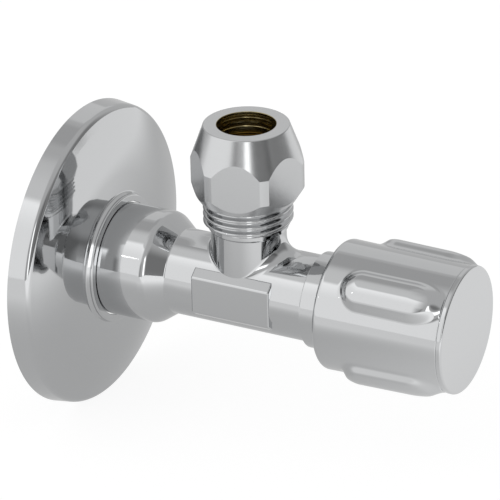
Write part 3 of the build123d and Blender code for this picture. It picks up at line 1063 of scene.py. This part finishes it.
@dataclass
class Handwheel:
    """The hollow cast wheel with four raised ribs."""

    back_x: float
    front_x: float
    back_r: float = 12.2
    front_r: float = 11.75
    hollow_r: float = 10.6
    hollow_depth: float = 17.4
    web: float = 2.5
    recess_r: float = 9.8
    hub_r: float = 5.6
    hub_bore_r: float = 4.41
    hub_length: float = 8.0
    screw_hole_r: float = 2.0
    back_edge_radius: float = 0.9
    front_edge_radius: float = 0.2
    mouth_edge_radius: float = 0.15
    hollow_fillet: float = 0.8
    hub_fillet: float = 0.5
    hub_edge_radius: float = 0.1
    skin_depth: float = 1.0
    skin_back_margin: float = 0.5
    skin_front_margin: float = 0.2
    rib_count: int = 4
    rib_first_deg: float = 46.0
    rib_height: float = 1.9
    rib_middle: float = 13.3
    rib_half_length: float = 8.6
    rib_half_width: float = 3.75
    rib_shoulder: float = 1.5
    rib_foot: float = 0.75
    rib_crown: float = 0.6
    rib_front_stretch: float = 1.7
    sharp_deg: float = 32.0
    skin_rows: int = 130
    segments: int = 420

    @staticmethod
    def rib_tree() -> bpy.types.NodeTree:
        """Builds the tree that raises pill-shaped ribs out of the wheel's skin.

        Returns:
            The tree.
        """
        sizes = ("Count", "First Angle", "Height", "Middle", "Half Length", "Half Width", "Shoulder", "Foot", "Crown")
        inputs = {name: NUMBER for name in (*sizes, "Front Stretch")}
        tree, made = new_tree("raised_ribs", {**inputs, "Finish": "NodeSocketMaterial"})
        steps = (
            ("angle", "ARCTAN2", "Z", "Y"),
            ("sector", "DIVIDE", 2 * math.pi, "Count"),
            ("half sector", "MULTIPLY", "sector", 0.5),
            ("low", "MULTIPLY", "half sector", -1.0),
            ("turned", "SUBTRACT", "angle", "First Angle"),
            ("local", "WRAP", "turned", "half sector", "low"),
            ("yy", "MULTIPLY", "Y", "Y"),
            ("zz", "MULTIPLY_ADD", "Z", "Z", "yy"),
            ("radius", "SQRT", "zz"),
            ("across", "MULTIPLY", "local", "radius"),
            ("along", "SUBTRACT", "X", "Middle"),
            ("far", "ABSOLUTE", "along"),
            ("straight", "SUBTRACT", "Half Length", "Half Width"),
            ("past", "SUBTRACT", "far", "straight"),
            ("over", "MAXIMUM", "past", 0.0),
            ("forward", "GREATER_THAN", "along", 0.0),
        )
        add_steps(tree, MATH, made, steps)
        made["stretch"] = add_node(
            tree, MIX, {"Factor": made["forward"], "A": 1.0, "B": made["Front Stretch"]}, data_type="FLOAT"
        )
        add_steps(tree, MATH, made, (("eased", "DIVIDE", "over", "stretch"),))
        reach = add_node(tree, JOIN, {0: made["eased"], 1: made["across"], 2: 0.0})
        made["length"] = add_node(tree, VECTOR, {0: reach}, operation="LENGTH").outputs["Value"]
        steps = (("outside", "SUBTRACT", "length", "Half Width"), ("inner", "MULTIPLY", "Shoulder", -1.0))
        add_steps(tree, MATH, made, steps)
        limits = {"From Min": made["inner"], "From Max": made["Foot"], "To Min": made["Height"], "To Max": 0.0}
        made["rise"] = add_node(tree, MAP_RANGE, {"Value": made["outside"], **limits}, interpolation_type="SMOOTHSTEP")
        made["skin"] = add_node(tree, "GeometryNodeInputNamedAttribute", {"Name": "skin"}, data_type="FLOAT")
        steps = (
            ("share", "DIVIDE", "length", "Half Width"),
            ("squared", "MULTIPLY", "share", "share"),
            ("sunk", "MULTIPLY", "squared", "Crown"),
            ("left", "SUBTRACT", 1.0, "sunk"),
            ("round top", "MAXIMUM", "left", 0.0),
            ("crowned", "MULTIPLY", "rise", "round top"),
            ("lifted", "MULTIPLY", "crowned", "skin"),
        )
        add_steps(tree, MATH, made, steps)
        spoke = add_node(tree, JOIN, {0: 0.0, 1: made["Y"], 2: made["Z"]})
        outwards = add_node(tree, VECTOR, {0: spoke}, operation="NORMALIZE")
        shift = add_node(tree, VECTOR, {0: outwards, "Scale": made["lifted"]}, operation="SCALE")
        raised = add_node(tree, "GeometryNodeSetPosition", {"Geometry": made["Geometry"], "Offset": shift})
        return end_tree(tree, raised, made["Finish"])

    def build(self, finish: bpy.types.Material) -> bpy.types.Object:
        """Turns the wheel and raises its ribs.

        Args:
            finish: Its material.

        Returns:
            The wheel's object.
        """
        web_back = self.back_x + self.hollow_depth
        web_front = web_back + self.web
        hub_back = web_back - self.hub_length
        slope = (self.front_r - self.back_r) / (self.front_x - self.back_x)
        corners = [
            (self.back_x, self.hollow_r, self.mouth_edge_radius),
            (web_back, self.hollow_r, self.hollow_fillet),
            (web_back, self.hub_r, self.hub_fillet),
            (hub_back, self.hub_r, self.hub_edge_radius),
            (hub_back, self.hub_bore_r, 0),
            (web_back, self.hub_bore_r, 0),
            (web_back, self.screw_hole_r, 0),
            (web_front, self.screw_hole_r, 0),
            (web_front, self.recess_r, 0),
            (self.front_x, self.recess_r, 0),
            (self.front_x, self.front_r, self.front_edge_radius),
        ]
        # The skin is a fine grid between its rounded edges, so that the ribs can be raised out of it.
        start, end = self.front_x - self.front_edge_radius * 1.5, self.back_x + self.back_edge_radius * 1.2
        corners += [(x, self.back_r + slope * (x - self.back_x), 0) for x in np.linspace(start, end, self.skin_rows)]
        corners.append((self.back_x, self.back_r, self.back_edge_radius))
        shell = Shell("cast_wheel")
        shell.lathe(Axis.BARREL, outward(outline_stations(corners)), full_turn(self.segments))
        thing = shell.object([finish])
        mesh = thing.data
        # The ribs bend the skin, so its exact normals are given up.
        custom = mesh.attributes.get("custom_normal")
        if custom is not None:
            mesh.attributes.remove(custom)
        co = np.zeros(len(mesh.vertices) * 3, np.float32)
        mesh.vertices.foreach_get("co", co)
        co = co.reshape(-1, 3) / MM
        along, radius = co[:, 0], np.hypot(co[:, 1], co[:, 2])
        skin = radius > self.front_r - self.skin_depth
        skin &= (along > self.back_x + self.skin_back_margin) & (along < self.front_x - self.skin_front_margin)
        mesh.attributes.new("skin", "FLOAT", "POINT").data.foreach_set("value", skin.astype(np.float32))
        lengths = {
            "Height": self.rib_height,
            "Middle": self.back_x + self.rib_middle,
            "Half Length": self.rib_half_length,
            "Half Width": self.rib_half_width,
            "Shoulder": self.rib_shoulder,
            "Foot": self.rib_foot,
        }
        values = {
            "Count": float(self.rib_count),
            "First Angle": math.radians(self.rib_first_deg),
            "Crown": self.rib_crown,
            "Front Stretch": self.rib_front_stretch,
            "Finish": finish,
        }
        carved_by_nodes(thing, self.rib_tree(), {**values, **{name: length * MM for name, length in lengths.items()}})
        thing.data.attributes.remove(thing.data.attributes["skin"])
        thing.data.set_sharp_from_angle(angle=math.radians(self.sharp_deg))
        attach(thing, "spindle")
        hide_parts("handwheel")
        return thing


@dataclass
class HandwheelCap:
    """The round cap that closes the wheel's front."""

    back_x: float
    front_x: float
    radius: float
    edge_radius: float = 0.4
    skirt_r: float = 9.79
    skirt_wall: float = 1.0
    skirt_length: float = 2.0
    small_edge_radius: float = 0.1
    segments: int = 256

    def build(self, finish: bpy.types.Material) -> bpy.types.Object:
        """Turns the cap, a plain disc with a skirt that grips the wheel's recess.

        Args:
            finish: Its material.

        Returns:
            The cap's object.
        """
        corners = [
            (self.back_x - self.skirt_length, self.skirt_r, self.small_edge_radius),
            (self.back_x, self.skirt_r, 0),
            (self.back_x, self.radius, self.small_edge_radius),
            (self.front_x, self.radius, self.edge_radius),
            (self.front_x, 0.0, 0),
            (self.back_x, 0.0, 0),
            (self.back_x, self.skirt_r - self.skirt_wall, 0),
            (self.back_x - self.skirt_length, self.skirt_r - self.skirt_wall, self.small_edge_radius),
        ]
        shell = Shell("wheel_cap")
        shell.lathe(Axis.BARREL, outward(outline_stations(corners)), full_turn(self.segments))
        thing = shell.object([finish])
        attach(thing, "spindle")
        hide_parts("handwheel_cap")
        return thing


# Wall rosette


@dataclass
class WallRosette:
    """The pressed rosette: a rim, a domed face, and a collar round the bell."""

    radius: float
    depth: float
    sheet: float = 0.8
    rim_depth: float = 4.6
    rim_draft: float = 0.5
    dome_r: float = 21.5
    dome_x: float = 6.5
    root_x: float = 7.1
    collar_r: float = 11.5
    bell_clearance: float = 0.8
    collar_flare: float = 0.4
    hem_length: float = 0.75
    hem_gap: float = 0.18
    hem_edge: float = 0.12
    rim_radius: float = 1.0
    dome_radius: float = 40.0
    root_radius: float = 0.8
    lip_radius: float = 0.35
    corner_steps: int = 14
    rim_steps: int = 8
    segments: int = 320

    def build(self, finish: bpy.types.Material) -> bpy.types.Object:
        """Turns the sheet's middle line, with a skin half a sheet away on each side and round edges.

        Args:
            finish: Its material.

        Returns:
            The rosette's object.
        """
        half = self.sheet / 2
        middle_r = self.collar_r + half
        rim_x = self.rim_depth - half
        line = outline_stations(
            [
                (half, self.radius - half, 0),
                (rim_x, self.radius - half - self.rim_draft, self.rim_radius),
                (self.dome_x, self.dome_r, self.dome_radius),
                (self.root_x, middle_r + self.collar_flare, self.root_radius),
                (self.depth - self.hem_length, middle_r, 0),
            ],
            closed=False,
            steps=self.corner_steps,
        )
        sides: list[list[Station]] = []
        for sign, run in ((-1, line), (1, line[::-1])):
            side = []
            for s in run:
                n = -sign * np.array(s.after if s is not line[-1] else s.before)
                side.append(Station(s.along + half * n[0], s.radius + half * n[1], tuple(n), tuple(n)))
            sides.append(side)
        inner, outer = sides
        hem_r = self.collar_r - self.bell_clearance + self.hem_gap
        hem = outline_stations(
            [
                (inner[-1].along, inner[-1].radius, 0),
                (inner[-1].along, hem_r, self.hem_edge),
                (self.depth, hem_r, self.hem_edge),
                (self.depth, self.collar_r + self.sheet, self.lip_radius),
                (outer[0].along, outer[0].radius, 0),
            ],
            closed=False,
        )
        # The cut edge at the wall is half a circle.
        rim_end = []
        for k in range(1, self.rim_steps):
            n = rotated(-np.array(line[0].after), -math.pi * k / self.rim_steps)
            rim_end.append(Station(line[0].along + half * n[0], line[0].radius + half * n[1], tuple(n), tuple(n)))
        skins = [*inner, *hem, *outer, *rim_end, inner[0]]
        shell = Shell("pressed_rosette")
        shell.lathe(Axis.BARREL, skins, full_turn(self.segments))
        thing = shell.object([finish])
        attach(thing, "rosette")
        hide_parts("wall_rosette")
        return thing


def dressed(node: bpy.types.Object, finish: bpy.types.Material) -> bpy.types.Object:
    """Gives a CAD node, whose shape stays, its real finish.

    Args:
        node: The node's object.
        finish: Its material.

    Returns:
        The same object.
    """
    node.data.materials.clear()
    node.data.materials.append(finish)
    return node


# Studio


@dataclass(frozen=True)
class Card:
    """A bright or dark card in the studio, as the chrome sees it: where it stands and how wide it is, in degrees."""

    azimuth: float
    elevation: float
    half_width: float
    half_height: float
    side_edge: float
    level_edge: float
    strength: float


@dataclass
class Studio:
    """Plain soft studio: a room with cards that the chrome mirrors, a near lamp, a white floor and the camera.

    The chrome sees the floor's glow change along X and Y: from and to where, in metres, and from and to what. That
    change is painted shadow: the glow is darker near and behind the valve, where its shadow falls.
    """

    floor_z: float
    base: float = 0.62
    cards: tuple[Card, ...] = (
        Card(-130, 26, 36, 28, 9, 2.5, 0.54),
        Card(-135, 60, 44, 16, 20, 14, 0.24),
        Card(-62, 18, 6, 18, 2, 4, 1.6),
        Card(-30, 10, 20, 30, 6, 10, -0.36),
        Card(22, 10, 34, 26, 14, 12, -0.34),
        Card(-92, 8, 7, 18, 4, 6, -0.3),
        Card(146, 8, 14, 16, 6, 6, -0.26),
        Card(117, 31, 20, 15, 6, 2, 0.16),
        Card(140, 60, 34, 9, 12, 2.5, -0.1),
    )
    camera_place: tuple[float, float, float] = (289.33, -483.33, 274.71)
    camera_azimuth: float = 27.71
    camera_elevation: float = 26.11
    camera_roll: float = -1.34
    lens: float = 237.4
    sensor: float = 36.0
    clip: tuple[float, float] = (0.01, 20.0)
    floor_half_m: float = 3.0
    floor_tone: float = 0.2
    floor_seen: float = 0.88
    # Painted shadow: the floor's glow, as the chrome sees it, is darker near and behind the valve.
    floor_glow_with_painted_shadow: tuple[tuple[str, float, float, float, float], ...] = (
        ("X", 0.03, 0.11, 0.5, 0.86),
        ("Y", -0.16, -0.04, 0.32, 0.0),
    )
    lamp_place: tuple[float, float, float] = (-171.0, -309.0, 199.0)
    lamp_target: tuple[float, float, float] = (9.0, -9.0, 5.0)
    lamp_size: float = 9.0
    lamp_power: float = 0.003

    def camera(self) -> None:
        """Stands the camera where the photograph was taken."""
        data = bpy.data.cameras.new("camera")
        data.lens, data.sensor_width = self.lens, self.sensor
        data.clip_start, data.clip_end = self.clip
        thing = in_scene("camera", data)
        a, e, roll = (math.radians(v) for v in (self.camera_azimuth, self.camera_elevation, self.camera_roll))
        back = Vector((math.sin(a) * math.cos(e), -math.cos(a) * math.cos(e), math.sin(e)))
        right = Vector((math.cos(a), math.sin(a), 0.0))
        up = back.cross(right)
        level = right * math.cos(roll) + up * math.sin(roll)
        upright = up * math.cos(roll) - right * math.sin(roll)
        turn = Matrix((level, upright, back)).transposed().to_4x4()
        thing.matrix_world = Matrix.Translation(Vector(self.camera_place) * MM) @ turn
        bpy.context.scene.camera = thing

    def room(self) -> None:
        """Makes the world: white to the camera, and a room with cards to the chrome."""
        world = bpy.data.worlds.new("studio_room")
        bpy.context.scene.world = world
        world.use_nodes = True
        tree = world.node_tree
        tree.nodes.clear()
        place = add_node(tree, "ShaderNodeTexCoord")
        split = add_node(tree, SPLIT, {0: place.outputs["Generated"]})
        made: dict[str, object] = {label: split.outputs[label] for label in "XYZ"}
        steps = (
            ("turn", "ARCTAN2", "Y", "X"),
            ("azimuth", "DEGREES", "turn"),
            ("tilt", "ARCSINE", "Z"),
            ("elevation", "DEGREES", "tilt"),
            ("light", "ADD", self.base, 0.0),
        )
        add_steps(tree, MATH, made, steps)
        for card in self.cards:
            made["share"] = card.strength
            for angle, centre, half, edge in (
                ("azimuth", card.azimuth, card.half_width, card.side_edge),
                ("elevation", card.elevation, card.half_height, card.level_edge),
            ):
                steps = (
                    ("away", "SUBTRACT", angle, centre),
                    ("near", "WRAP", "away", 180.0, -180.0),
                    ("off", "ABSOLUTE", "near"),
                )
                add_steps(tree, MATH, made, steps)
                limits = {"From Min": half - edge, "From Max": half + edge, "To Min": made["share"], "To Max": 0.0}
                made["share"] = add_node(
                    tree, MAP_RANGE, {"Value": made["off"], **limits}, interpolation_type="SMOOTHSTEP"
                )
            add_steps(tree, MATH, made, (("light", "ADD", "light", "share"),))
        path = add_node(tree, "ShaderNodeLightPath")
        seen = add_node(tree, "ShaderNodeBackground", {"Color": (1, 1, 1, 1), "Strength": 1.0})
        lit = add_node(tree, "ShaderNodeBackground", {"Color": (1, 1, 1, 1), "Strength": made["light"]})
        both = add_node(tree, "ShaderNodeMixShader", {0: path.outputs["Is Camera Ray"], 1: lit, 2: seen})
        add_node(tree, "ShaderNodeOutputWorld", {"Surface": both})

    def floor(self) -> None:
        """Lays the plain pale floor: white behind the object, with its soft shadow kept. In the glow that reflections
        see, a painted shadow darkens the floor near and behind the object.
        """
        material, tree, place = new_material("pale_floor_with_painted_shadow")
        path = add_node(tree, "ShaderNodeLightPath")
        split = add_node(tree, SPLIT, {0: place})
        # Painted shadow: the glow that reflections see darkens near the valve and behind it, standing in for its
        # shadow.
        right, front = (
            add_node(
                tree,
                MAP_RANGE,
                {"Value": split.outputs[label], "From Min": start, "From Max": end, "To Min": low, "To Max": high},
                interpolation_type="SMOOTHSTEP",
            )
            for label, start, end, low, high in self.floor_glow_with_painted_shadow
        )
        painted_shadow_glow = add_node(tree, MATH, {0: right, 1: front}, operation="ADD")
        strength = add_node(
            tree,
            MIX,
            {"Factor": path.outputs["Is Camera Ray"], "A": painted_shadow_glow, "B": self.floor_seen},
            data_type="FLOAT",
        )
        glow = add_node(tree, "ShaderNodeEmission", {"Color": (1, 1, 1, 1), "Strength": strength})
        board = add_node(tree, "ShaderNodeBsdfDiffuse", {"Color": (*(self.floor_tone,) * 3, 1)})
        both = add_node(tree, "ShaderNodeAddShader", {0: glow, 1: board})
        add_node(tree, OUTPUT, {"Surface": both})
        work = bmesh.new()
        bmesh.ops.create_grid(work, x_segments=8, y_segments=8, size=self.floor_half_m)
        bmesh.ops.translate(work, vec=(0, 0, self.floor_z * MM), verts=work.verts)
        mesh = bpy.data.meshes.new("floor")
        work.to_mesh(mesh)
        work.free()
        mesh.materials.append(material)
        thing = in_scene("floor", mesh)

    def lamp(self) -> None:
        """Hangs the small near lamp that gives the chrome its hot spots."""
        data = bpy.data.lights.new("near_lamp", "AREA")
        data.shape, data.size, data.energy = "SQUARE", self.lamp_size * MM, self.lamp_power
        thing = in_scene("near_lamp", data)
        place, target = Vector(self.lamp_place) * MM, Vector(self.lamp_target) * MM
        thing.location = place
        thing.rotation_euler = (target - place).to_track_quat("-Z", "Y").to_euler()

    def build(self) -> None:
        """Sets up the whole studio."""
        bpy.context.scene.view_settings.view_transform = "Standard"
        self.camera()
        self.room()
        self.floor()
        self.lamp()


def clear_start_scene() -> None:
    """Removes what Blender starts with."""
    for thing in list(bpy.data.objects):
        bpy.data.objects.remove(thing)


def main() -> None:
    """Builds the valve's pieces in order and reports them."""
    logging.basicConfig(level=logging.INFO, format="%(name)s: %(message)s")
    clear_start_scene()
    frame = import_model()
    nodes = frame["nodes"]
    low, high = ({name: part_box(name)[i] / MM for name in nodes} for i in (0, 1))

    body_chrome = POLISHED_BODY.material()
    wheel_chrome = POLISHED_WHEEL.material()
    sheet_chrome = POLISHED_SHEET.material()
    brass = TURNED_BRASS.material()
    steel = STAINLESS.material()
    rubber = RUBBER.material()
    outlet_x = (low["olive"].x + high["olive"].x) / 2

    body = ValveBody(
        outlet_x=outlet_x,
        inlet_end_x=low["valve_body"].x,
        front_x=high["valve_body"].x,
        bell_r=high["valve_body"].y,
        stub_top_z=high["valve_body"].z,
    )
    pieces = body.build(body_chrome)
    thread_tree = ScrewThread.tree()
    # The outlet has a G 3/8 thread and the inlet a G 1/2 thread.
    threads = (
        ScrewThread(
            name="outlet_thread",
            axis=Axis.OUTLET,
            pitch=1.337,
            major_r=8.331,
            minor_r=7.475,
            inner_r=7.1,
            start=12.9,
            end=body.stub_top_z,
            start_r=7.2,
            start_slope=1.8,
            end_chamfer=0.8,
            offset=outlet_x,
        ),
        ScrewThread(
            name="inlet_thread",
            axis=Axis.BARREL,
            pitch=1.814,
            major_r=10.4775,
            minor_r=9.316,
            inner_r=8.9,
            start=body.inlet_end_x,
            end=body.bell_back_x - body.relief_width,
            start_r=9.6775,
            start_slope=1.0,
            end_chamfer=0.8,
        ),
    )
    for thread in threads:
        piece = thread.build(thread_tree, body_chrome)
        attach(piece, "valve")
        pieces.append(piece)
    nut = CompressionNut(outlet_x=outlet_x, bottom_z=low["compression_nut"].z, top_z=high["compression_nut"].z)
    pieces.append(nut.build([finish.material() for finish in (SATIN_FLATS, TURNED_CONES, TURNED_BORE)]))
    pieces.append(Bonnet(nodes["bonnet"]).build(body_chrome))
    wheel = Handwheel(back_x=low["handwheel"].x, front_x=high["handwheel"].x)
    pieces.append(wheel.build(wheel_chrome))
    cap = HandwheelCap(
        back_x=wheel.front_x + CAP_GAP, front_x=high["handwheel_cap"].x, radius=high["handwheel_cap"].y
    )
    pieces.append(cap.build(wheel_chrome))
    rosette = WallRosette(radius=high["wall_rosette"].y, depth=high["wall_rosette"].x)
    pieces.append(rosette.build(sheet_chrome))
    for finish, names in (
        (brass, ("spindle", "valve_disc", "handwheel_bush", "olive")),
        (steel, ("seat_washer_screw", "handwheel_washer", "handwheel_screw")),
        (rubber, ("bonnet_seal_ring", "inner_spindle_ring", "outer_spindle_ring", "seat_washer")),
    ):
        pieces.extend(dressed(nodes[name], finish) for name in names)
    for piece in pieces:
        log.info("%s: %d faces", piece.name, len(piece.data.polygons))

    Studio(floor_z=low["wall_rosette"].z - FLOOR_GAP).build()


if __name__ == "__main__":
    main()
